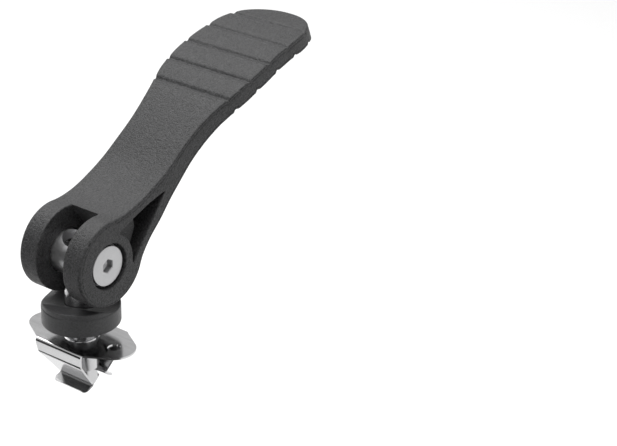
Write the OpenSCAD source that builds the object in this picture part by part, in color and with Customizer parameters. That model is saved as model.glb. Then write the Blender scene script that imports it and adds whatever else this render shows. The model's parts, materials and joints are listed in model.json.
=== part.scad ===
// Quarter-turn clamp lock with cam lever.
// Origin: midway between the rivet holes, on the retainer plate's upper face. +Z runs up the stud.
// The pivot lies along Y. The lever tips from +Z towards +X as it clamps.

/* [Lever] */
// Angle of the lever from the stud axis, 90 is clamped
lever_angle = 68; // [0:1:90]
// Length from the pivot to the tip
lever_len = 92; // [91:1:96]
// Width across the two ears
ear_width = 20.6; // [20:0.2:22]
// Radius of the round cam end of the ears
cam_r = 11.3; // [11:0.1:11.8]
// Distance from the pivot to the centre of the cam circle
cam_offset = 0.9; // [0.6:0.1:1.1]
// Width of the slot between the ears
slot_w = 8.9; // [8.6:0.1:9.4]
// Depth of the slot beyond the pivot
slot_end = 8; // [7.8:0.1:8.6]
// Number of cross grooves on each face of the grip
groove_count = 5; // [2:1:5]
// Depth of each cross groove
groove_depth = 0.45; // [0.2:0.05:0.6]

/* [Barrel and stud] */
// Height of the pivot above the retainer plate
pivot_z = 22.2; // [22:0.1:23]
// Diameter of the cross barrel
barrel_d = 11.2; // [11:0.1:11.4]
// Length of the cross barrel
barrel_len = 17.2; // [16.8:0.1:17.4]
// Diameter of the stud and of its thread
stud_d = 8; // [7.8:0.1:8.2]
// Distance from the retainer plate down to the point of the stud
stud_depth = 15.6; // [15.2:0.1:16.4]
// Diameter of the flat heads of the two pivot screws
head_d = 10.5; // [10:0.1:10.8]
// Width across flats of the socket in a pivot screw
socket_af = 3; // [2.5:0.1:3.2]

/* [Pressure disc] */
// Diameter of the pressure disc
disc_d = 20; // [19:0.5:22]
// Height of the disc at its rim
disc_h = 6.2; // [6:0.1:6.6]
// Height of the saddle floor over the middle of the disc
saddle_z = 4.7; // [4.4:0.1:5.0]
// How far the loose disc is turned on the stud
disc_turn = 22; // [0:1:180]

/* [Retainer] */
// Thickness of the spring steel sheet
sheet_t = 0.5; // [0.4:0.1:0.6]
// Gap between the disc and the retainer plate
clamp_gap = 4.2; // [4:0.1:4.4]
// Distance between the two rivet holes
rivet_spacing = 22; // [21:0.5:24]
// Diameter of the rivet holes
rivet_d = 3.4; // [3:0.1:3.6]
// Width over the two legs at the plate
leg_span = 17.6; // [17:0.1:18.2]

/* [Hidden] */
$fn = 96;
overlap = 1;

// Lever profile, in the lever's own frame: X along the handle, Z towards the thumb side.
ear_top_angle = 65;
ear_low_angle = -42;
tip_slant = 1.3;
// Places along the handle and heights of the thumb side
thumb_line = [[11.6, 8.5], [18, 8.1], [26, 8.7], [36, 10.9], [48, 13.1], [60, 13.9], [72, 13], [84, 10.3],
    [lever_len, 7.1]];
// Places along the handle and heights of the finger side
finger_line = [[14, -4.1], [20, -1.5], [26, 1.4], [36, 4.9], [48, 7.9], [60, 9], [72, 8.5], [84, 5.8],
    [lever_len - tip_slant, 2.8]];
// Places along the handle and half widths
width_line = [[-20, ear_width / 2], [28, ear_width / 2 - 0.1], [37, 10.1], [46, 11.2], [55, 13.3],
    [64, 14], [76, 13.5]];
tip_start = 76;
tip_power = 2.2;
thumb_grooves = [51, 58.5, 66.5, 75, 83.5];
finger_grooves = [52.3, 60.3, 68.8, 76.8, 84.2];
groove_w = 1.4;
slot_lean = 3.1;

// Pockets in the sides of the lever
ring_r = 8.4;
pocket_corners = [
    [7.2, -5.2], [9.6, -3.6], [15.4, -0.4], [20.3, 2.3], [24, 4.5], [18, 5.4], [12, 5.7], [6.4, 5.7]];
pocket_deep_side = [[8, -8], [26, -8], [26, 8], [12, 8], [13.6, 4.6], [13, 1.5], [9.5, -2]];
pocket_shallow = 2.2;
pocket_deep = 7.2;

barrel_bore_d = barrel_d + 0.12;
barrel_mouth_d = 11.9;
barrel_mouth_depth = 1.6;
barrel_chamfer = 0.3;

// Stud
stud_top = pivot_z + 3.4;
thread_d = stud_d - 0.1;
thread_low = pivot_z - 7;
neck_half = 2.5;
neck_top = -8.7;
neck_low = -12.3;
point_r = 1.5;

// Pivot screws
screw_d = 5;
screw_depth = 4;
head_t = 1.1;
head_chamfer = 0.2;
socket_depth = 1.8;

// Pressure disc
disc_bore_d = stud_d + 0.16;
saddle_r = 11.9;
recess_d = 13;
recess_depth = 2.2;
ring_section = 1.8;

// Retainer
plate_half_y = 7.7;
plate_hole_d = 9.2;
tab_r = 5.5;
crease_z = -3.5;
fold_x = 2.8;
fold_z = -11.1;
lip_x = 5.3;
lip_z = -12.6;
leg_long_y = 6.4;
leg_short_y = 4.6;
leg_step = 1.4;

// Slope of the curve through p at its point i. A third entry in a point states it.
function slope_at(p, i) =
    len(p[i]) > 2 ? p[i][2] :
    i == 0 ? (p[1][1] - p[0][1]) / (p[1][0] - p[0][0]) :
    i == len(p) - 1 ? (p[i][1] - p[i - 1][1]) / (p[i][0] - p[i - 1][0]) :
    (p[i + 1][1] - p[i - 1][1]) / (p[i + 1][0] - p[i - 1][0]);

// Smooth curve through the points of p, read at x
function curve(p, x, i = 0) =
    i < len(p) - 2 && x > p[i + 1][0] ? curve(p, x, i + 1) :
    let (span = p[i + 1][0] - p[i][0], t = (x - p[i][0]) / span)
    p[i][1] * (1 - t) * (1 - t) * (1 + 2 * t) + p[i + 1][1] * t * t * (3 - 2 * t)
    + span * slope_at(p, i) * t * (1 - t) * (1 - t)
    - span * slope_at(p, i + 1) * t * t * (1 - t);

function polar(c, r, a) = [c[0] + r * cos(a), c[1] + r * sin(a)];

// Closed side outline of the lever
function cam_arc() = [for (a = [ear_top_angle : 5 : 360 + ear_low_angle])
    polar([cam_offset, 0], cam_r, a)];
function line_points(p, steps) = [for (i = [0 : steps]) let (x = p[0][0]
    + (p[len(p) - 1][0] - p[0][0]) * i / steps) [x, curve(p, x)]];
function reversed(p) = [for (i = [len(p) - 1 : -1 : 0]) p[i]];

ear_top_point = polar([cam_offset, 0], cam_r, ear_top_angle);
ear_low_point = polar([cam_offset, 0], cam_r, ear_low_angle);
thumb_curve = concat([concat(ear_top_point, -1 / tan(ear_top_angle))], thumb_line);
finger_curve = concat([concat(ear_low_point, -1 / tan(ear_low_angle))], finger_line);

module side_outline() {
    polygon(concat(cam_arc(), line_points(finger_curve, 60), reversed(line_points(thumb_curve, 60))));
}

function half_width(x) =
    x < tip_start ? curve(width_line, x) :
    let (b = min(1, (x - tip_start) / (lever_len - tip_start)))
    curve(width_line, tip_start) * pow(1 - pow(b, tip_power), 1 / tip_power);

module plan_outline() {
    straight = [for (x = [-cam_r - 2 : 2 : tip_start - 1]) [x, half_width(x)]];
    rounded = [for (a = [0 : 5 : 90]) let (x = tip_start + (lever_len - tip_start) * sin(a))
        [x, half_width(x)]];
    half = concat(straight, rounded);
    polygon(concat(half, [for (p = reversed(half)) [p[0], -p[1]]]));
}

module along_y(width) {
    rotate([90, 0, 0]) linear_extrude(width, center = true) children();
}

module lever_blank() {
    intersection() {
        along_y(2 * ear_width) side_outline();
        translate([0, 0, -lever_len]) linear_extrude(2 * lever_len) plan_outline();
    }
}

// A triangular groove across the grip, at a place on one of its faces
module groove(line, x, side) {
    slope = atan((curve(line, x + 1) - curve(line, x - 1)) / 2);
    translate([x, 0, curve(line, x)]) rotate([0, -slope, 0]) along_y(2 * ear_width)
        polygon([[-groove_w / 2, side * 0.2], [groove_w / 2, side * 0.2],
                 [0.15 * groove_w, -side * groove_depth]]);
}

// The slot between the ears. Its end wall leans, so the slot is deeper on the finger side.
module fork_slot() {
    reach = 2 * cam_r;
    along_y(slot_w) polygon([[-reach, reach], [slot_end - slot_lean, reach], [slot_end + slot_lean, -reach],
                             [-reach, -reach]]);
}

// Side outline of the pocket, between the ring round the pivot and the two ribs
module pocket_outline() {
    difference() {
        polygon(pocket_corners);
        circle(r = ring_r);
    }
}

module pocket(side) {
    along = [0, side * ear_width / 2, 0];
    translate(along) along_y(2 * pocket_shallow) pocket_outline();
    translate(along) along_y(2 * pocket_deep) intersection() {
        pocket_outline();
        polygon(pocket_deep_side);
    }
}

module lever() {
    color([0.2, 0.2, 0.21]) translate([0, 0, pivot_z]) rotate([0, lever_angle - 90, 0])
    difference() {
        lever_blank();
        fork_slot();
        rotate([90, 0, 0]) cylinder(d = barrel_bore_d, h = 2 * ear_width, center = true);
        for (side = [-1, 1]) {
            pocket(side);
            translate([0, side * (ear_width / 2 - barrel_mouth_depth), 0]) rotate([-90 * side, 0, 0])
                cylinder(d = barrel_mouth_d, h = barrel_mouth_depth + overlap);
        }
        for (i = [0 : groove_count - 1]) {
            groove(thumb_curve, thumb_grooves[i], 1);
            groove(finger_curve, finger_grooves[i], -1);
        }
    }
}

module pivot_barrel() {
    straight = barrel_len / 2 - barrel_chamfer;
    color([0.78, 0.79, 0.8]) translate([0, 0, pivot_z]) difference() {
        union() {
            rotate([90, 0, 0]) cylinder(d = barrel_d, h = 2 * straight, center = true);
            for (side = [-1, 1]) translate([0, side * straight, 0]) rotate([-90 * side, 0, 0])
                cylinder(d1 = barrel_d, d2 = barrel_d - 2 * barrel_chamfer, h = barrel_chamfer);
        }
        cylinder(d = stud_d, h = 2 * barrel_d, center = true);
        rotate([90, 0, 0]) cylinder(d = screw_d + 0.06, h = barrel_len + 2 * overlap, center = true);
    }
}

// A pivot screw standing on its thread, head up, with its head's seat at the origin
module pivot_screw() {
    difference() {
        union() {
            translate([0, 0, -screw_depth]) cylinder(d = screw_d, h = screw_depth);
            cylinder(d = head_d, h = head_t - head_chamfer);
            translate([0, 0, head_t - head_chamfer])
                cylinder(d1 = head_d, d2 = head_d - 2 * head_chamfer, h = head_chamfer);
        }
        translate([0, 0, head_t - socket_depth])
            cylinder(d = socket_af / cos(30), h = socket_depth + overlap, $fn = 6);
    }
}

module pivot_screw_front() {
    color([0.72, 0.73, 0.74]) translate([0, -barrel_len / 2, pivot_z]) rotate([90, 0, 0]) pivot_screw();
}

module pivot_screw_rear() {
    color([0.72, 0.73, 0.74]) translate([0, barrel_len / 2, pivot_z]) rotate([-90, 0, 0]) pivot_screw();
}

// Cross section of the neck: round where the folds pass, square where they never reach
module neck_section() {
    circle(r = neck_half);
    intersection() {
        circle(d = stud_d);
        union() {
            translate([0, -neck_half]) square(neck_half);
            translate([-neck_half, 0]) square(neck_half);
        }
    }
}

module stud() {
    color([0.74, 0.75, 0.77]) union() {
        translate([0, 0, thread_low]) cylinder(d = thread_d, h = stud_top - thread_low);
        translate([0, 0, neck_top]) cylinder(d = stud_d, h = thread_low - neck_top);
        translate([0, 0, neck_low]) linear_extrude(neck_top - neck_low) neck_section();
        intersection() {
            translate([0, 0, -stud_depth])
                cylinder(r1 = point_r, r2 = stud_d / 2, h = stud_depth + neck_low);
            translate([0, 0, -stud_depth])
                cube([2 * stud_d, 2 * neck_half, 2 * stud_depth], center = true);
        }
    }
}

module pressure_disc() {
    color([0.17, 0.17, 0.18]) translate([0, 0, clamp_gap]) rotate([0, 0, disc_turn]) difference() {
        cylinder(d = disc_d, h = disc_h);
        translate([0, 0, -overlap]) cylinder(d = disc_bore_d, h = disc_h + 2 * overlap);
        translate([0, 0, -overlap]) cylinder(d = recess_d, h = recess_depth + overlap);
        translate([0, 0, saddle_z + saddle_r]) rotate([90, 0, 0])
            cylinder(r = saddle_r, h = 2 * disc_d, center = true, $fn = 180);
    }
}

module friction_ring() {
    color([0.08, 0.08, 0.08]) translate([0, 0, clamp_gap + recess_depth - ring_section / 2 - 0.05])
        rotate_extrude() translate([(disc_bore_d + ring_section) / 2, 0])
            circle(d = ring_section, $fn = 32);
}

// Half of the leg's side outline: down from the plate, in to the fold, out along the lip
function leg_line(d) = [
    [leg_span / 2 - d, 0],
    [leg_span / 2 - d, crease_z + d * 0.3],
    [fold_x + sheet_t - d, fold_z + d * 0.1],
    [lip_x + sheet_t - d, lip_z]];

module leg_profile() {
    polygon(concat(leg_line(0), reversed(leg_line(sheet_t))));
}

// Front outline of a leg, which narrows on one side only
module leg_front() {
    polygon([[plate_half_y, 0], [plate_half_y, crease_z], [leg_long_y, fold_z], [leg_long_y - 0.8, lip_z],
             [-leg_short_y, lip_z], [-leg_short_y - 0.5, lip_z + 0.6], [-leg_short_y, fold_z],
             [-leg_short_y - 0.9, crease_z - 3.6], [-plate_half_y, -leg_step],
             [-plate_half_y, 0]]);
}

module leg() {
    intersection() {
        along_y(4 * plate_half_y) leg_profile();
        rotate([90, 0, 90]) linear_extrude(leg_span) leg_front();
    }
}

module plate_outline() {
    tab_y = rivet_spacing / 2;
    corner = [leg_span / 2, plate_half_y];
    reach = sqrt(pow(corner[0], 2) + pow(corner[1] - tab_y, 2));
    tangent = atan2(corner[1] - tab_y, corner[0]) + acos(tab_r / reach);
    tab_arc = [for (i = [0 : 12]) polar([0, tab_y], tab_r, tangent + (90 - tangent) * i / 12)];
    quarter = concat([corner], tab_arc);
    upper = concat(quarter, [for (p = reversed(quarter)) [-p[0], p[1]]]);
    polygon(concat(upper, [for (p = upper) [-p[0], -p[1]]]));
}

module retainer() {
    color([0.7, 0.71, 0.72]) union() {
        difference() {
            translate([0, 0, -sheet_t]) linear_extrude(sheet_t) plate_outline();
            translate([0, 0, -sheet_t - overlap]) cylinder(d = plate_hole_d, h = sheet_t + 2 * overlap);
            for (side = [-1, 1]) translate([0, side * rivet_spacing / 2, -sheet_t - overlap])
                cylinder(d = rivet_d, h = sheet_t + 2 * overlap);
        }
        leg();
        rotate([0, 0, 180]) leg();
    }
}

lever();
pivot_barrel();
pivot_screw_front();
pivot_screw_rear();
stud();
pressure_disc();
friction_ring();
retainer();
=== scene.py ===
"""Looks of the quarter-turn clamp lock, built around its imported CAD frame.

Sizes are in millimetres in the frame's own axes: the origin is midway between the rivet holes on the
retainer's plate, +Z runs up the stud and the pivot lies along Y. They repeat the CAD's sizes.
"""

import json
import math

import bmesh
import bpy
import numpy as np
from mathutils import Matrix, Vector
from mathutils.geometry import delaunay_2d_cdt


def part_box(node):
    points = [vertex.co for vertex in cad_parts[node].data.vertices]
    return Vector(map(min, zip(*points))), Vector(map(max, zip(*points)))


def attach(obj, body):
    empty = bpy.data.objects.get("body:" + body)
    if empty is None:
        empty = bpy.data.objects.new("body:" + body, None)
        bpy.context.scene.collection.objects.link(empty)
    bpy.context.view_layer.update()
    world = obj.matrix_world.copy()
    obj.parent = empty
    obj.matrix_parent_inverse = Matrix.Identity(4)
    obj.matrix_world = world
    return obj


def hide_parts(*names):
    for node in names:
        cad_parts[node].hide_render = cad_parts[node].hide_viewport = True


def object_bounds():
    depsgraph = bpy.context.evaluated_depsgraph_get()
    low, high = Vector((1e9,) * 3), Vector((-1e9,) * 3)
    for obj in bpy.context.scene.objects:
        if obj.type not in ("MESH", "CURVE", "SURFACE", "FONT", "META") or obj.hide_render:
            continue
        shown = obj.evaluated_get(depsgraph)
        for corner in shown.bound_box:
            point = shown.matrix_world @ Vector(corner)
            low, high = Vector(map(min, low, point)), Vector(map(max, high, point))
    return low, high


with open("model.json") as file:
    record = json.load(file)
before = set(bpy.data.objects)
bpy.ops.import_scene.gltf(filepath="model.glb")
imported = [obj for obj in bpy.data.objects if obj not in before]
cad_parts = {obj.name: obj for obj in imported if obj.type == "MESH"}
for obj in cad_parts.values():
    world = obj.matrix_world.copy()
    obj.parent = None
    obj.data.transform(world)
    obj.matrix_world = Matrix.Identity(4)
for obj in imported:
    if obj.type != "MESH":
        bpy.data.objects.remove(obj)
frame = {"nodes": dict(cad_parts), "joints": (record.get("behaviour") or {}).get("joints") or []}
cad_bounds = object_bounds()
MM = 0.001

joints = {j["name"]: j for j in frame["joints"]}
PIVOT_Z = joints["lever_swing"]["pos_m"][2] / MM
LEVER_ANGLE = math.radians(-joints["lever_swing"]["range_deg"][0])
DISC_Z = joints["disc_turn"]["pos_m"][2] / MM

# ---------------------------------------------------------------- solids from distance fields


def slope_at(p, i):
    """Slope of the curve through p at its point i. A third entry in a point states it."""
    if len(p[i]) > 2:
        return p[i][2]
    a, b = max(i - 1, 0), min(i + 1, len(p) - 1)
    return (p[b][1] - p[a][1]) / (p[b][0] - p[a][0])


def curve(p, x):
    """Smooth curve through the points p, read at the places x."""
    x = np.asarray(x, float)
    at = np.array([q[0] for q in p])
    val = np.array([q[1] for q in p])
    m = np.array([slope_at(p, i) for i in range(len(p))])
    i = np.clip(np.searchsorted(at, x) - 1, 0, len(p) - 2)
    span = at[i + 1] - at[i]
    t = (x - at[i]) / span
    return (
        val[i] * (1 - t) ** 2 * (1 + 2 * t)
        + val[i + 1] * t**2 * (3 - 2 * t)
        + span * m[i] * t * (1 - t) ** 2
        - span * m[i + 1] * t**2 * (1 - t)
    )


def outline_distance(px, py, points):
    """Signed distance from each point of a plane to a closed outline, negative inside."""
    pts = np.asarray(points, float)
    best = np.full(np.broadcast(px, py).shape, 1e9)
    inside = np.zeros(best.shape, bool)
    for a, b in zip(pts, np.roll(pts, -1, axis=0)):
        e = b - a
        if abs(e[0]) + abs(e[1]) < 1e-9:
            continue
        wx, wy = px - a[0], py - a[1]
        t = np.clip((wx * e[0] + wy * e[1]) / (e[0] ** 2 + e[1] ** 2), 0, 1)
        best = np.minimum(best, (wx - t * e[0]) ** 2 + (wy - t * e[1]) ** 2)
        if e[1] != 0:
            cross = (a[1] > py) != (b[1] > py)
            inside ^= cross & (px < a[0] + (py - a[1]) * e[0] / e[1])
    return (np.where(inside, -1, 1) * np.sqrt(best)).astype(np.float32)


def both(a, b, r):
    """Intersection of two fields, with an edge of radius r where they meet."""
    a, b = a + r, b + r
    return (
        np.minimum(np.maximum(a, b), 0)
        + np.sqrt(np.maximum(a, 0) ** 2 + np.maximum(b, 0) ** 2)
        - r
    )


def without(a, b, r):
    """Field a with b cut out of it, with an edge of radius r where they meet."""
    return both(a, -b, r)


def read_field(field, q):
    """Field at fractional grid places q."""
    top = np.array(field.shape) - 2
    i = np.clip(np.floor(q).astype(int), 0, top)
    f = q - i
    out = 0
    for dx in (0, 1):
        for dy in (0, 1):
            for dz in (0, 1):
                w = (
                    (f[:, 0] if dx else 1 - f[:, 0])
                    * (f[:, 1] if dy else 1 - f[:, 1])
                    * (f[:, 2] if dz else 1 - f[:, 2])
                )
                out = out + w * field[i[:, 0] + dx, i[:, 1] + dy, i[:, 2] + dz]
    return out


def pull_to_surface(field, q, rounds=3, longest=0.3):
    """Move the places q onto the field's zero level, a short way in each round."""
    half = 0.5 * np.eye(3)
    for _ in range(rounds):
        d = read_field(field, q)
        g = np.stack([read_field(field, q + h) - read_field(field, q - h) for h in half], 1)
        move = (d / np.maximum((g**2).sum(1), 1e-6))[:, None] * g
        size = np.maximum(np.linalg.norm(move, axis=1), 1e-9)
        q = q - move * (np.minimum(size, longest) / size)[:, None]
    return q


def crossing_cells(field, inside):
    """A place in each cell that the surface passes through, and the number of each such cell."""
    shape = np.array(field.shape)
    corners = [(x, y, z) for x in (0, 1) for y in (0, 1) for z in (0, 1)]
    count = np.zeros(shape - 1, np.uint8)
    for x, y, z in corners:
        count += inside[x : shape[0] - 1 + x, y : shape[1] - 1 + y, z : shape[2] - 1 + z]
    active = (count > 0) & (count < len(corners))
    cell = np.argwhere(active)
    index = np.full(active.shape, -1, np.int64)
    index[active] = np.arange(len(cell))
    value = [field[cell[:, 0] + x, cell[:, 1] + y, cell[:, 2] + z] for x, y, z in corners]
    total = np.zeros((len(cell), 3))
    hits = np.zeros(len(cell))
    for i, a in enumerate(corners):
        for j in range(i + 1, len(corners)):
            b = corners[j]
            if sum(abs(a[k] - b[k]) for k in range(3)) != 1:
                continue
            m = (value[i] < 0) != (value[j] < 0)
            t = value[i][m] / (value[i][m] - value[j][m])
            total[m] += np.array(a) + t[:, None] * (np.array(b) - np.array(a))
            hits[m] += 1
    return cell + total / hits[:, None], index


def mesh_field(field, low, step):
    """Closed quad mesh of a field's zero level: vertices in mm and faces."""
    inside = field < 0
    shape = field.shape
    q, index = crossing_cells(field, inside)
    faces = []
    for axis in range(3):
        u, v = [k for k in range(3) if k != axis]
        a = np.take(inside, range(shape[axis] - 1), axis)
        b = np.take(inside, range(1, shape[axis]), axis)
        e = np.argwhere(a != b)
        e = e[(e[:, u] > 0) & (e[:, v] > 0) & (e[:, u] < shape[u] - 1) & (e[:, v] < shape[v] - 1)]
        ring = []
        for du, dv in ((0, 0), (1, 0), (1, 1), (0, 1)):
            c = e.copy()
            c[:, u] -= du
            c[:, v] -= dv
            ring.append(index[c[:, 0], c[:, 1], c[:, 2]])
        ring = np.stack(ring, 1)
        flip = inside[e[:, 0], e[:, 1], e[:, 2]]
        if axis == 1:
            flip = ~flip
        ring[flip] = ring[flip][:, ::-1]
        faces.append(ring)
    return np.array(low) + pull_to_surface(field, q) * step, np.concatenate(faces)


def new_mesh(name, verts_mm, faces):
    """Smooth-shaded object from vertices in millimetres."""
    me = bpy.data.meshes.new(name)
    v = np.asarray(verts_mm, float) * MM
    if isinstance(faces, np.ndarray):
        me.vertices.add(len(v))
        me.vertices.foreach_set("co", v.ravel())
        k = faces.shape[1]
        me.loops.add(faces.size)
        me.loops.foreach_set("vertex_index", faces.ravel().astype(np.int32))
        me.polygons.add(len(faces))
        me.polygons.foreach_set("loop_start", np.arange(0, faces.size, k, dtype=np.int32))
        me.update(calc_edges=True)
    else:
        me.from_pydata([tuple(p) for p in v], [], faces)
    me.validate()
    me.shade_smooth()
    ob = bpy.data.objects.new(name, me)
    bpy.context.scene.collection.objects.link(ob)
    return ob


def weld(ob):
    """Join points that coincide and turn every face outwards."""
    bm = bmesh.new()
    bm.from_mesh(ob.data)
    bmesh.ops.remove_doubles(bm, verts=bm.verts, dist=1e-7)
    bmesh.ops.recalc_face_normals(bm, faces=bm.faces)
    bm.to_mesh(ob.data)
    bm.free()


def grid(low, high, step):
    """Coordinates of a box of grid places, one array for each axis."""
    x, y, z = [np.arange(a, b + step, step).astype(np.float32) for a, b in zip(low, high)]
    return x[:, None, None], y[None, :, None], z[None, None, :]


# ---------------------------------------------------------------- lever
# In the lever's own frame: X along the handle from the pivot, Z towards the thumb side.

LEVER_STEP = 0.2
LEVER_LEN = 92
EAR_HALF = 10.3
CAM_R = 11.3
CAM_OFFSET = 0.9
EAR_TOP_ANGLE = math.radians(65)
EAR_LOW_ANGLE = math.radians(-42)
TIP_START = 76
TIP_POWER = 2.2
TIP_SLANT = 1.3
SLOT_HALF = 4.45
SLOT_END = 8
SLOT_LEAN = 0.137
BORE_R = 5.66
MOUTH_R = 5.95
MOUTH_DEPTH = 1.6
EAR_RING_R = 8.4
POCKET_SHALLOW = 2.2
POCKET_DEEP = 7.2

# Cross grooves. Each is steeper on the side towards the pivot, lies in a wide dip and has a thin
# raised lip before it.
THUMB_GROOVES = (51, 58.5, 66.5, 75, 83.5)
FINGER_GROOVES = (52.3, 60.3, 68.8, 76.8, 84.2)
GROOVE_DEPTH = 0.5
GROOVE_WALLS = (0.42, 0.62)
DIP_DEPTH, DIP_WIDTH = 0.1, 1.9
LIP_HEIGHT, LIP_WIDTH, LIP_BEFORE = 0.1, 0.35, 0.95

# Edge radius of the grip, how much more the ears have, and where on the handle that has faded out
GRIP_EDGE = 0.3
EAR_EDGE_MORE = 0.45
EDGE_FADE_END, EDGE_FADE = 30, 24

# Parting line along the side of the grip
LEVER_SEAM_IN, LEVER_SEAM_R = 0.8, 0.15

# Places along the handle, with heights of the thumb side, heights of the finger side and half widths
thumb = [(11.6, 8.5), (18, 8.1), (26, 8.7), (36, 10.9), (48, 13.1), (60, 13.9), (72, 13), (84, 10.3)]
thumb += [(LEVER_LEN, 7.1)]
finger = [(14, -4.1), (20, -1.5), (26, 1.4), (36, 4.9), (48, 7.9), (60, 9), (72, 8.5), (84, 5.8)]
finger += [(LEVER_LEN - TIP_SLANT, 2.8)]
width = [(-20, EAR_HALF), (28, EAR_HALF - 0.1), (37, 10.1), (46, 11.2), (55, 13.3), (64, 14), (76, 13.5)]

# Side pocket, and the part of it that goes deep
POCKET = [(7.2, -5.2), (9.6, -3.6), (15.4, -0.4), (20.3, 2.3), (24, 4.5), (18, 5.4), (12, 5.7), (6.4, 5.7)]
POCKET_DEEP_SIDE = [(8, -8), (26, -8), (26, 8), (12, 8), (13.6, 4.6), (13, 1.5), (9.5, -2)]


def cam_point(a):
    return (CAM_OFFSET + CAM_R * math.cos(a), CAM_R * math.sin(a))


def from_cam(angle, line):
    """A line of the side outline that leaves the cam's circle at an angle, tangent to it."""
    return [(*cam_point(angle), -1 / math.tan(angle))] + line


def grooves(x, places):
    """How far a face is sunk at x."""
    sunk = np.zeros_like(x)
    for c in places:
        d = x - c
        wall = np.where(d < 0, *GROOVE_WALLS)
        sunk += GROOVE_DEPTH * np.exp(-((d / wall) ** 2))
        sunk += DIP_DEPTH * np.exp(-((d / DIP_WIDTH) ** 2))
        sunk -= LIP_HEIGHT * np.exp(-(((d + LIP_BEFORE) / LIP_WIDTH) ** 2))
    return sunk


def side_outline():
    """Closed side outline of the lever: round the cam, out along the fingers, back along the thumb."""
    top, low = from_cam(EAR_TOP_ANGLE, thumb), from_cam(EAR_LOW_ANGLE, finger)
    far = np.linspace(top[0][0], top[-1][0], 420)
    near = np.linspace(low[0][0], low[-1][0], 420)
    arc = [cam_point(a) for a in np.linspace(EAR_TOP_ANGLE, 2 * math.pi + EAR_LOW_ANGLE, 90)]
    under = curve(low, near) + grooves(near, FINGER_GROOVES)
    over = curve(top, far) - grooves(far, THUMB_GROOVES)
    return arc + list(zip(near, under)) + list(zip(far[::-1], over[::-1]))


def plan_outline():
    """Closed outline of the lever from above, with a rounded tip."""
    tip = LEVER_LEN - TIP_START
    round_part = TIP_START + tip * np.sin(np.linspace(0.02, math.pi / 2, 60))
    t = np.r_[np.linspace(-13, TIP_START, 90), round_part]
    b = np.clip((t - TIP_START) / tip, 0, 1)
    w = curve(width, np.minimum(t, TIP_START)) * (1 - b**TIP_POWER) ** (1 / TIP_POWER)
    return list(zip(t, w)) + list(zip(t[::-1], -w[::-1]))


def lever_solid(step):
    low, high = (-11.6, -15, -13), (93, 15, 15)
    x, y, z = grid(low, high, step)
    ay = np.abs(y)
    r = np.sqrt(x * x + z * z)
    profile = outline_distance(x, z, side_outline())
    plan = outline_distance(x, y, plan_outline())
    soft = np.clip((EDGE_FADE_END - x) / EDGE_FADE, 0, 1)
    body = both(profile, plan, GRIP_EDGE + EAR_EDGE_MORE * soft * soft * (3 - 2 * soft))
    fork = both(ay - SLOT_HALF, x - (SLOT_END - SLOT_LEAN * z), 0.3)
    body = without(body, fork, 0.3)
    body = without(body, r - BORE_R, 0.15)
    body = without(body, np.maximum(r - MOUTH_R, EAR_HALF - MOUTH_DEPTH - ay), 0.2)
    pocket = both(outline_distance(x, z, POCKET), EAR_RING_R - r, 0.3)
    shallow = np.maximum(pocket, EAR_HALF - POCKET_SHALLOW - ay)
    deep = both(pocket, outline_distance(x, z, POCKET_DEEP_SIDE), 0.2)
    deep = np.maximum(deep, EAR_HALF - POCKET_DEEP - ay)
    body = without(body, np.minimum(shallow, deep), 0.25)
    seam = np.sqrt((profile + LEVER_SEAM_IN) ** 2 + plan**2) - LEVER_SEAM_R
    body = without(body, seam, 0.04)
    return mesh_field(body, low, step)


def lever_to_frame(v):
    """Lever's own frame to the shared frame, both in mm."""
    s, c = math.sin(LEVER_ANGLE), math.cos(LEVER_ANGLE)
    return np.stack([v[:, 0] * s - v[:, 2] * c, v[:, 1], v[:, 0] * c + v[:, 2] * s + PIVOT_Z], 1)


verts, faces = lever_solid(LEVER_STEP)
lever = new_mesh("lever_body", lever_to_frame(verts), faces)

# ---------------------------------------------------------------- pressure disc

DISC_STEP = 0.14
DISC_R = 10
DISC_H = 6.2
DISC_TURN = math.radians(22)
DISC_BORE_R = 4.08
SADDLE_R = 11.9
SADDLE_Z = 4.7
RECESS_R = 6.5
RECESS_DEPTH = 2.2
# Over the parting line the wall stands back a little
DISC_SEAM_Z, DISC_SEAM_R, STAND_BACK = 4.8, 0.16, 0.1
# Fine rings turned into the underside
FACE_RINGS, FACE_RING_R = (7.6, 8.8), 0.14


def disc_solid(step):
    low, high = (-10.6, -10.6, -0.6), (10.6, 10.6, 6.8)
    x, y, z = grid(low, high, step)
    across = x * math.cos(DISC_TURN) + y * math.sin(DISC_TURN)
    r = np.sqrt(x * x + y * y)
    wall = r - DISC_R + STAND_BACK * np.clip((z - DISC_SEAM_Z - 0.05) / 0.05, 0, 1)
    body = both(wall, z - DISC_H, 0.35)
    body = both(body, -z, 0.3)
    saddle = np.sqrt(across * across + (z - SADDLE_Z - SADDLE_R) ** 2) - SADDLE_R
    body = without(body, saddle, 0.25)
    seam = np.sqrt((r - DISC_R) ** 2 + (z - DISC_SEAM_Z) ** 2) - DISC_SEAM_R
    body = without(body, seam, 0.05)
    body = without(body, r - DISC_BORE_R, 0.25)
    recess = both(r - RECESS_R, z - RECESS_DEPTH, 0.3)
    body = without(body, recess, 0.25)
    for ring_r in FACE_RINGS:
        body = without(body, np.sqrt((r - ring_r) ** 2 + z * z) - FACE_RING_R, 0.05)
    return mesh_field(body, low, step)


verts, faces = disc_solid(DISC_STEP)
disc = new_mesh("pressure_disc_body", verts + np.array([0, 0, DISC_Z]), faces)

# ---------------------------------------------------------------- turned pieces

# Radius of a ring that stands for a point on the axis
AXIS_R = 0.001
TURNED_SHARP = math.radians(35)


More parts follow.
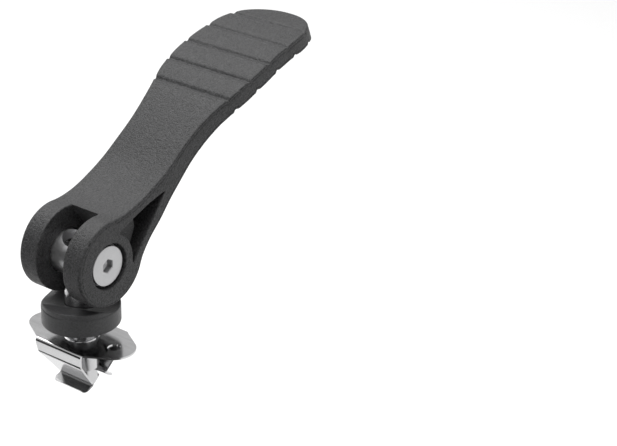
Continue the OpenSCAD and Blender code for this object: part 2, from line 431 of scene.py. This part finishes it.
def turned(name, rings, sides, place):
    """Lathe. A ring is a radius, or a radius as a function of the angle, and a height.

    place maps a local point to mm in the frame.
    """
    verts, faces = [], []
    for radius, height in rings:
        for k in range(sides):
            a = 2 * math.pi * k / sides
            q = radius(a) if callable(radius) else radius
            verts.append(place(q * math.cos(a), q * math.sin(a), height))
    n = len(rings)
    for i in range(n - 1):
        for k in range(sides):
            m = (k + 1) % sides
            faces.append([i * sides + k, i * sides + m, (i + 1) * sides + m, (i + 1) * sides + k])
    faces.append([k for k in range(sides)][::-1])
    faces.append([(n - 1) * sides + k for k in range(sides)])
    ob = new_mesh(name, verts, faces)
    weld(ob)
    ob.data.set_sharp_from_angle(angle=TURNED_SHARP)
    return ob


def fillet(r0, z0, r1, z1, steps):
    """Points of a quarter round from (r0, z0) to (r1, z1), bulging towards (r0, z1)."""
    return [
        (r1 + (r0 - r1) * math.cos(a), z0 + (z1 - z0) * math.sin(a))
        for a in np.linspace(0, math.pi / 2, steps)
    ]


def hexagon(af, more=0.0):
    """Radius at an angle of a hexagon with a width across flats, and a little more."""

    def radius(a):
        k = (a + math.pi / 6) % (math.pi / 3) - math.pi / 6
        return af / 2 / math.cos(k) + more

    return radius


# Pivot screws, with heights from the seat of the head
SCREW_SEAT_Y = 8.6
SCREW_R = 2.5
SCREW_DEPTH = 4
HEAD_R = 5.25
HEAD_T = 1.1
SOCKET_AF = 3
SOCKET_FLOOR_Z = -0.62
SOCKET_POINT_Z = -1.2


def screw(name, side):
    rings = [(AXIS_R, -SCREW_DEPTH), (SCREW_R - 0.2, -SCREW_DEPTH), (SCREW_R, 0.2 - SCREW_DEPTH)]
    rings += [(SCREW_R, 0), (HEAD_R - 0.15, 0)]
    rings += fillet(HEAD_R, 0.1, HEAD_R - 0.15, 0.0, 3)[::-1]
    rings += [(HEAD_R, 0.3)] + fillet(HEAD_R, HEAD_T - 0.24, HEAD_R - 0.24, HEAD_T, 6)
    rings += [(2.2, HEAD_T), (hexagon(SOCKET_AF, 0.22), HEAD_T)]
    rings += [(hexagon(SOCKET_AF, 0.02), HEAD_T - 0.16), (hexagon(SOCKET_AF), HEAD_T - 0.2)]
    rings += [(hexagon(SOCKET_AF), SOCKET_FLOOR_Z), (1.25, SOCKET_FLOOR_Z - 0.18)]
    rings += [(AXIS_R, SOCKET_POINT_Z)]
    return turned(name, rings, 96, lambda a, b, h: (a, side * (SCREW_SEAT_Y + h), PIVOT_Z + b * side))


screw_front = screw("pivot_screw_front_body", -1)
screw_rear = screw("pivot_screw_rear_body", 1)

# Stud, with heights over the plate
STUD_R = 4.0
POINT_R = 1.5
STUD_LOW_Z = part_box("stud")[0].z / MM
STUD_TOP_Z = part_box("stud")[1].z / MM
NECK_HALF = 2.5
NECK_TOP, NECK_LOW = -8.7, -12.3
NECK_MIDDLE = -12
THREAD_Z = 15.4
THREAD_PITCH = 1.25
THREAD_CREST_R, THREAD_ROOT_R = 3.94, 3.62


def stud_radius(height):
    """Radius at an angle of the stud's neck or, lower down, of its cone with the two flats."""

    def flat(a):
        return NECK_HALF / max(abs(math.sin(a)), 1e-6)

    def neck(a):
        square = math.sin(a) * math.cos(a) < 0
        return NECK_HALF / max(abs(math.sin(a)), abs(math.cos(a))) if square else NECK_HALF

    if height > NECK_LOW:
        return lambda a: min(STUD_R, neck(a))
    cone = STUD_R - (STUD_R - POINT_R) * (NECK_LOW - height) / (NECK_LOW - STUD_LOW_Z)
    return lambda a: min(cone, flat(a))


stud_rings = [(AXIS_R, STUD_LOW_Z)]
for up, edge in ((0, -0.25), (0.04, -0.1), (0.12, -0.025)):
    stud_rings.append((stud_radius(STUD_LOW_Z + up)(0) + edge, STUD_LOW_Z + up))
stud_rings += [(stud_radius(h), h) for h in np.linspace(STUD_LOW_Z + 0.25, NECK_LOW - 0.15, 12)]
stud_rings += [(stud_radius(NECK_LOW - 0.03), NECK_LOW - 0.02)]
stud_rings += [(stud_radius(NECK_MIDDLE), NECK_LOW + 0.02), (stud_radius(NECK_MIDDLE), NECK_TOP - 0.05)]
stud_rings += [(STUD_R, NECK_TOP + 0.02), (STUD_R, THREAD_Z - 0.5), (STUD_R - 0.05, THREAD_Z - 0.2)]
for k in range(int((STUD_TOP_Z - THREAD_Z - 0.2) / (THREAD_PITCH / 4))):
    crest = k % 4 in (0, 1)
    stud_rings.append((THREAD_CREST_R if crest else THREAD_ROOT_R, THREAD_Z + THREAD_PITCH / 4 * k))
stud_rings += [(3.9, STUD_TOP_Z - 0.5), (3.5, STUD_TOP_Z), (3.1, STUD_TOP_Z)]
stud_rings += [(2.9, STUD_TOP_Z - 0.3), (AXIS_R, STUD_TOP_Z - 0.4)]
stud = turned("stud_body", stud_rings, 144, lambda a, b, h: (a, b, h))

RING_SECTION_R = 0.9 * MM
ring_low, ring_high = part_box("friction_ring")
bpy.ops.mesh.primitive_torus_add(
    major_radius=ring_high.x - RING_SECTION_R,
    minor_radius=RING_SECTION_R,
    major_segments=128,
    minor_segments=32,
)
ring = bpy.context.object
ring.name = "friction_ring_body"
ring.data.transform(Matrix.Translation((0, 0, (ring_low.z + ring_high.z) / 2)))
ring.data.shade_smooth()

# ---------------------------------------------------------------- retainer, a bent sheet

SHEET = 0.5
PLATE_HALF_X, PLATE_HALF_Y = 8.8, 7.7
TAB_Y, TAB_R = 11.0, 5.5
PLATE_HOLE_R = 4.6
RIVET_R = 1.7
# Corners of the sheet's middle line, from the plate's middle to the lip's end
BEND_CORNERS = [(0.0, -0.25), (8.55, -0.25), (8.55, -3.5), (3.1, -11.0), (5.75, -12.4)]
# Radii of the three bends between them: at the plate, at the crease and at the fold
BEND_RADII = (0.65, 2.2, 0.55)
BEND_STEPS = 12
# Where the side edges of a leg change direction
CREASE_Z, FOLD_Z = -3.5, -11.0
NOTCH_Z, TAPER_Z, FOLD_EDGE_Z = -1.4, -7.1, -10.7
LEG_LONG_Y, LEG_SHORT_Y = 6.4, 4.6
PAST_PLATE = 0.3
SHEET_SHARP = math.radians(40)


def corner_frame(p, q, r):
    """Directions from corner q to its neighbours p and r, and half of the angle between them."""
    a, b = (p - q) / np.linalg.norm(p - q), (r - q) / np.linalg.norm(r - q)
    return a, b, math.acos(np.clip(a @ b, -1, 1)) / 2


def bend_path():
    """Middle line of the sheet, as points, with an arc at each bend."""
    corner = [np.array(c) for c in BEND_CORNERS]
    line = [corner[0]]
    for p, q, r, radius in zip(corner, corner[1:], corner[2:], BEND_RADII):
        a, b, half = corner_frame(p, q, r)
        cut = radius / math.tan(half)
        centre = q + (a + b) / np.linalg.norm(a + b) * radius / math.sin(half)
        v0, v1 = q + a * cut - centre, q + b * cut - centre
        turn = math.atan2(v0[0] * v1[1] - v0[1] * v1[0], v0 @ v1)
        for k in range(BEND_STEPS + 1):
            s, c = math.sin(turn * k / BEND_STEPS), math.cos(turn * k / BEND_STEPS)
            line.append(centre + np.array([c * v0[0] - s * v0[1], s * v0[0] + c * v0[1]]))
    line.append(corner[-1])
    return np.array(line)


PATH = bend_path()
PATH_S = np.r_[0, np.cumsum(np.linalg.norm(np.diff(PATH, axis=0), axis=1))]
PLATE_S = PATH_S[1]
END_S = PATH_S[-1]


def path_normal(j):
    """Normal of the middle line at its point j."""
    if j in (0, 1):
        return np.array([0.0, 1.0])
    d = PATH[min(j + 1, len(PATH) - 1)] - PATH[j - 1]
    return np.array([-d[1], d[0]]) / np.linalg.norm(d)


def path_at(s):
    """Point and normal of the middle line at a developed distance, mirrored for negative ones."""
    k = abs(s)
    i = min(max(int(np.searchsorted(PATH_S, k)) - 1, 0), len(PATH) - 2)
    t = (k - PATH_S[i]) / (PATH_S[i + 1] - PATH_S[i])
    p = PATH[i] + t * (PATH[i + 1] - PATH[i])
    n = path_normal(i) * (1 - t) + path_normal(i + 1) * t
    n /= np.linalg.norm(n)
    sign = 1 if s >= 0 else -1
    return np.array([sign * p[0], p[1]]), np.array([sign * n[0], n[1]])


def s_of_z(z):
    """Developed distance at which the leg reaches a height."""
    i = np.argmax(PATH[:, 1] <= z)
    t = (PATH[i - 1, 1] - z) / (PATH[i - 1, 1] - PATH[i, 1])
    return PATH_S[i - 1] + t * (PATH_S[i] - PATH_S[i - 1])


def rounded(points, radii, steps=6):
    """Closed outline with its corners rounded."""
    out = []
    n = len(points)
    for i in range(n):
        p, q, r = (np.array(points[(i + k) % n], float) for k in (-1, 0, 1))
        if radii[i] == 0:
            out.append(tuple(q))
            continue
        a, b, half = corner_frame(p, q, r)
        room = 0.45 * min(np.linalg.norm(p - q), np.linalg.norm(r - q))
        cut = min(radii[i] / math.tan(half), room)
        start, end = q + a * cut, q + b * cut
        for k in range(steps + 1):
            t = k / steps
            out.append(tuple((1 - t) ** 2 * start + 2 * t * (1 - t) * q + t**2 * end))
    return out


def sheet_outline():
    """Flat pattern in (developed distance, y). Half a turn brings it onto itself."""
    reach = math.hypot(PLATE_HALF_X, PLATE_HALF_Y - TAB_Y)
    tangent = math.atan2(PLATE_HALF_Y - TAB_Y, PLATE_HALF_X) + math.acos(TAB_R / reach)
    tab = [
        (TAB_R * math.cos(a), TAB_Y + TAB_R * math.sin(a))
        for a in np.linspace(tangent, math.pi - tangent, 29)
    ]
    # Corners of a leg's two sides, with the radius of each
    long_side = [
        ((END_S, -LEG_SHORT_Y), 1.2),
        ((END_S, LEG_LONG_Y - 0.4), 1.4),
        ((s_of_z(FOLD_Z), LEG_LONG_Y), 0.5),
        ((s_of_z(CREASE_Z), PLATE_HALF_Y), 0),
        ((PLATE_S + PAST_PLATE, PLATE_HALF_Y + 0.02), 0),
    ]
    short_side = [
        ((-PLATE_S - PAST_PLATE, PLATE_HALF_Y + 0.02), 0),
        ((-s_of_z(NOTCH_Z), PLATE_HALF_Y - 0.1), 0.8),
        ((-s_of_z(TAPER_Z), LEG_SHORT_Y + 0.9), 1.0),
        ((-s_of_z(FOLD_EDGE_Z), LEG_SHORT_Y), 0.4),
        ((0.9 - END_S, LEG_SHORT_Y + 0.5), 0.5),
    ]
    half = long_side + [(p, 0) for p in tab] + short_side
    points = [p for p, _ in half]
    radii = [r for _, r in half]
    return rounded(points + [(-a, -b) for a, b in points], radii * 2)


def circle(cx, cy, r, n):
    turns = [2 * math.pi * k / n for k in range(n)]
    return [(cx + r * math.cos(a), cy + r * math.sin(a)) for a in turns]


def inside_of(p, poly):
    hit = False
    for (ax, ay), (bx, by) in zip(poly, poly[1:] + poly[:1]):
        if (ay > p[1]) != (by > p[1]) and p[0] < ax + (p[1] - ay) * (bx - ax) / (by - ay):
            hit = not hit
    return hit


def flat_triangles():
    """Points and triangles of the flat pattern, cut along every line at which the sheet bends."""
    outline = sheet_outline()
    holes = [circle(0, 0, PLATE_HOLE_R, 72)]
    holes += [circle(0, TAB_Y, RIVET_R, 40), circle(0, -TAB_Y, RIVET_R, 40)]
    verts, edges = [], []
    for loop in [outline] + holes:
        base = len(verts)
        verts += loop
        edges += [(base + k, base + (k + 1) % len(loop)) for k in range(len(loop))]

    def cut_line(a, b):
        edges.append((len(verts), len(verts) + 1))
        verts.extend((a, b))

    crease = 2 + BEND_STEPS
    finer = np.linspace(PATH_S[crease], PATH_S[crease + 1], 4)[1:-1]
    for s in list(PATH_S[1:-1]) + list(finer):
        for sign in (1, -1):
            cut_line((sign * s, -20), (sign * s, 20))
    for y in (-6, -4, -2, 0, 2, 4, 6):
        cut_line((-END_S - 1, y), (END_S + 1, y))
    v, _, f, *_ = delaunay_2d_cdt([Vector(p) for p in verts], edges, [], 0, 1e-5)
    keep = []
    for t in f:
        c = sum((v[i] for i in t), Vector((0, 0))) / len(t)
        if inside_of(c, outline) and not any(inside_of(c, h) for h in holes):
            keep.append(list(t))
    used = sorted({i for t in keep for i in t})
    at = {i: k for k, i in enumerate(used)}
    return [v[i] for i in used], [[at[i] for i in t] for t in keep]


def build_retainer():
    """The flat pattern, bent along the middle line and given its thickness."""
    points, tris = flat_triangles()
    n = len(points)
    low, high = [], []
    for q in points:
        p, m = path_at(q[0])
        high.append((p[0] + m[0] * SHEET / 2, q[1], p[1] + m[1] * SHEET / 2))
        low.append((p[0] - m[0] * SHEET / 2, q[1], p[1] - m[1] * SHEET / 2))
    faces = [list(t) for t in tris] + [[i + n for i in reversed(t)] for t in tris]
    sides = dict.fromkeys((a, b) for t in tris for a, b in zip(t, t[1:] + t[:1]))
    faces += [[b, a, a + n, b + n] for a, b in sides if (b, a) not in sides]
    ob = new_mesh("retainer_body", high + low, faces)
    weld(ob)
    bevel = ob.modifiers.new("edge", "BEVEL")
    bevel.width = 0.07 * MM
    bevel.segments = 2
    bevel.limit_method = "ANGLE"
    bevel.angle_limit = math.radians(60)
    bevel.use_clamp_overlap = True
    ob.data.set_sharp_from_angle(angle=SHEET_SHARP)
    return ob


retainer = build_retainer()

# ---------------------------------------------------------------- materials


class Shader:
    """A material with its Principled shader and the few nodes that this object needs."""

    def __init__(self, name):
        self.m = bpy.data.materials.new(name)
        self.m.use_nodes = True
        self.t = self.m.node_tree
        self.b = self.t.nodes["Principled BSDF"]
        self.where = self.t.nodes.new("ShaderNodeTexCoord").outputs["Object"]

    def put(self, **values):
        for k, v in values.items():
            self.b.inputs[k.replace("_", " ")].default_value = v

    def node(self, kind, **values):
        n = self.t.nodes.new(kind)
        for k, v in values.items():
            if k in n.inputs:
                n.inputs[k].default_value = v
            else:
                setattr(n, k, v)
        return n

    def noise(self, scale, detail, rough=0.5, stretch=(1, 1, 1)):
        m = self.node("ShaderNodeMapping")
        m.inputs["Scale"].default_value = stretch
        self.t.links.new(self.where, m.inputs["Vector"])
        n = self.node("ShaderNodeTexNoise", Scale=scale, Detail=detail, Roughness=rough)
        self.t.links.new(m.outputs[0], n.inputs["Vector"])
        return n.outputs["Fac"]

    def spread(self, source, low, high):
        """Noise, which keeps mostly between 0.3 and 0.7, spread from low to high."""
        n = self.node("ShaderNodeMapRange")
        n.inputs["From Min"].default_value = 0.3
        n.inputs["From Max"].default_value = 0.7
        n.inputs["To Min"].default_value = low
        n.inputs["To Max"].default_value = high
        self.t.links.new(source, n.inputs["Value"])
        return n.outputs["Result"]

    def math(self, op, a, b):
        n = self.node("ShaderNodeMath", operation=op)
        for i, s in enumerate((a, b)):
            if isinstance(s, (int, float)):
                n.inputs[i].default_value = s
            else:
                self.t.links.new(s, n.inputs[i])
        return n.outputs[0]

    def tint(self, value, colour):
        """Grey value times a colour, sent to the base colour."""
        n = self.node("ShaderNodeMix", data_type="RGBA", blend_type="MULTIPLY")
        n.inputs["Factor"].default_value = 1
        self.t.links.new(value, n.inputs["A"])
        n.inputs["B"].default_value = (*colour, 1)
        self.t.links.new(n.outputs["Result"], self.b.inputs["Base Color"])

    def link(self, value, socket):
        self.t.links.new(value, self.b.inputs[socket])

    def bumps(self, *layers):
        last = None
        for height, strength, distance in layers:
            n = self.node("ShaderNodeBump", Strength=strength, Distance=distance)
            self.t.links.new(height, n.inputs["Height"])
            if last is not None:
                self.t.links.new(last, n.inputs["Normal"])
            last = n.outputs["Normal"]
        self.t.links.new(last, self.b.inputs["Normal"])


def grained_plastic(name, grey, grain, rough):
    """Black plastic or rubber. grain is the strength of its grain, 1 for a spark-eroded one."""
    s = Shader(name)
    fine = s.noise(2600, 2, 0.6)
    coarse = s.noise(900, 2)
    cloud = s.noise(70, 3)
    speck = s.spread(fine, 1 - 0.8 * grain, 1 + 0.9 * grain)
    tone = s.math("MULTIPLY", speck, s.spread(cloud, 0.93, 1.07))
    s.tint(s.math("MULTIPLY", tone, grey), (1.0, 1.0, 1.03))
    mean = s.math("ADD", s.math("MULTIPLY", coarse, 0.5), s.math("MULTIPLY", fine, 0.5))
    s.link(s.spread(mean, rough - 0.06, rough + 0.1), "Roughness")
    s.bumps((coarse, 0.6 * grain, 0.0003), (fine, 0.8 * grain, 0.00025))
    s.put(Specular_IOR_Level=0.42)
    return s.m


def steel(name, grey, rough, stretch, streak, mottle=0.02):
    """Bare or plated steel with soft mottling and fine lines, which run where stretch is small."""
    s = Shader(name)
    lines = s.noise(900, 4, 0.65, stretch)
    cloud = s.noise(260, 3)
    streaks = s.spread(lines, 1 - streak, 1 + streak)
    tone = s.math("MULTIPLY", streaks, s.spread(cloud, 1 - mottle, 1 + mottle))
    s.tint(s.math("MULTIPLY", tone, grey), (1.0, 1.0, 1.01))
    fine = s.spread(lines, rough - 0.04, rough + 0.05)
    s.link(s.math("ADD", fine, s.spread(cloud, -0.02, 0.03)), "Roughness")
    s.bumps((lines, 0.12, 0.00001), (cloud, 0.06, 0.00004))
    s.put(Metallic=1.0)
    return s.m


plastic = grained_plastic("grained_black_plastic", 0.033, 1.0, 0.5)
disc_plastic = grained_plastic("smooth_black_plastic", 0.048, 0.3, 0.42)
polished = steel("polished_steel", 0.6, 0.2, (1, 1, 0.15), 0.03)
satin = steel("satin_ground_steel", 0.72, 0.34, (1, 1, 0.3), 0.03)
plated = steel("satin_plated_steel", 0.52, 0.36, (1, 0.2, 1), 0.04, 0.05)
sheet_steel = steel("rolled_spring_steel", 0.62, 0.15, (1, 0.05, 1), 0.05, 0.03)
rubber = grained_plastic("black_rubber", 0.02, 0.2, 0.6)


def dress(ob, material):
    ob.data.materials.clear()
    ob.data.materials.append(material)


# Each piece, the body it rides on, the CAD node it stands for, its material slot and its material
PIECES = (
    (lever, "lever", "lever", "plastic", plastic),
    (disc, "pressure_disc", "pressure_disc", "disc_plastic", disc_plastic),
    (stud, "stud", "stud", "polished_steel", polished),
    (screw_front, "stud", "pivot_screw_front", "plated_steel", plated),
    (screw_rear, "stud", "pivot_screw_rear", "plated_steel", plated),
    (ring, "friction_ring", "friction_ring", "rubber", rubber),
    (retainer, "retainer", "retainer", "spring_steel", sheet_steel),
)
for piece, body, node, slot, material in PIECES:
    dress(piece, material)
    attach(piece, body)
    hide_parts(node)
dress(frame["nodes"]["pivot_barrel"], satin)

# ---------------------------------------------------------------- camera, in metres

AIM = Vector((0.0429, -0.0382, 0.0270))
AZIMUTH, ELEVATION, ROLL = math.radians(52.56), math.radians(25.44), math.radians(1.11)
DISTANCE = 0.48824
LENS, SENSOR = 113.6, 36

back = Vector(
    (
        -math.sin(AZIMUTH) * math.cos(ELEVATION),
        -math.cos(AZIMUTH) * math.cos(ELEVATION),
        math.sin(ELEVATION),
    )
)
level = Vector((0, 0, 1)).cross(back).normalized()
upright = back.cross(level)
right = level * math.cos(ROLL) + upright * math.sin(ROLL)
up = upright * math.cos(ROLL) - level * math.sin(ROLL)
cam_data = bpy.data.cameras.new("camera")
cam = bpy.data.objects.new("camera", cam_data)
bpy.context.scene.collection.objects.link(cam)
turn = Matrix((right, up, back)).transposed().to_4x4()
cam.matrix_world = Matrix.Translation(AIM + back * DISTANCE) @ turn
cam_data.sensor_width = SENSOR
cam_data.lens = LENS
bpy.context.scene.camera = cam

# ---------------------------------------------------------------- floor, light and cards, in metres

# The floor lies well below the object, because the photo shows no shadow under it
FLOOR_DROP = 0.085
FLOOR_GREY, FLOOR_ROUGH = 0.9, 0.9
CARD_GREY, CARD_ROUGH = 0.02, 0.8
WORLD_LIGHT = 0.62


def plain_material(name, grey, rough):
    m = bpy.data.materials.new(name)
    m.use_nodes = True
    shader = m.node_tree.nodes["Principled BSDF"]
    shader.inputs["Base Color"].default_value = (grey, grey, grey, 1)
    shader.inputs["Roughness"].default_value = rough
    return m


floor_z = cad_bounds[0][2] - FLOOR_DROP
bpy.ops.mesh.primitive_plane_add(size=6, location=(0, 0, floor_z))
floor = bpy.context.object
floor.name = "floor"
dress(floor, plain_material("pale_floor", FLOOR_GREY, FLOOR_ROUGH))

world = bpy.data.worlds.new("world")
bpy.context.scene.world = world
world.use_nodes = True
world.node_tree.nodes["Background"].inputs["Color"].default_value = (1, 1, 1, 1)
world.node_tree.nodes["Background"].inputs["Strength"].default_value = WORLD_LIGHT


def softbox(name, place, size, power, aim=(0.03, 0, 0.03)):
    data = bpy.data.lights.new(name, "AREA")
    data.shape = "RECTANGLE"
    data.size, data.size_y = size
    data.energy = power
    ob = bpy.data.objects.new(name, data)
    bpy.context.scene.collection.objects.link(ob)
    ob.location = place
    ob.rotation_euler = (Vector(aim) - Vector(place)).to_track_quat("-Z", "Y").to_euler()


softbox("top", (-0.15, 0.05, 0.9), (0.7, 0.7), 5.0)
softbox("back", (0.2, 0.5, 0.75), (0.5, 0.4), 3.6)


def card(name, place, size, normal):
    """Dark card outside the picture, facing along the normal, for the steel to reflect."""
    bpy.ops.mesh.primitive_plane_add(size=1, location=place)
    ob = bpy.context.object
    ob.name = name
    ob.rotation_euler = Vector(normal).to_track_quat("Z", "Y").to_euler()
    ob.scale = (size[0], size[1], 1)
    dress(ob, plain_material(name, CARD_GREY, CARD_ROUGH))
    ob.visible_camera = False
    return ob


# The card on the floor shows in reflections only, so that it leaves the floor light
away = Vector((-back.x, -back.y, 0)).normalized()
low_card = card("low_card", away * -0.14 + Vector((0, 0, floor_z + 0.002)), (0.24, 0.34), (0, 0, 1))
low_card.rotation_euler = (0, 0, math.atan2(level.y, level.x))
low_card.visible_shadow = False
low_card.visible_diffuse = False
card("side_card", (-0.22, 0.19, 0.03), (0.3, 0.26), (0.76, -0.65, 0))
card("far_card", AIM + back * 0.75, (0.9, 0.5), -back)

view = bpy.context.scene.view_settings
view.view_transform = "Standard"
view.look = "None"
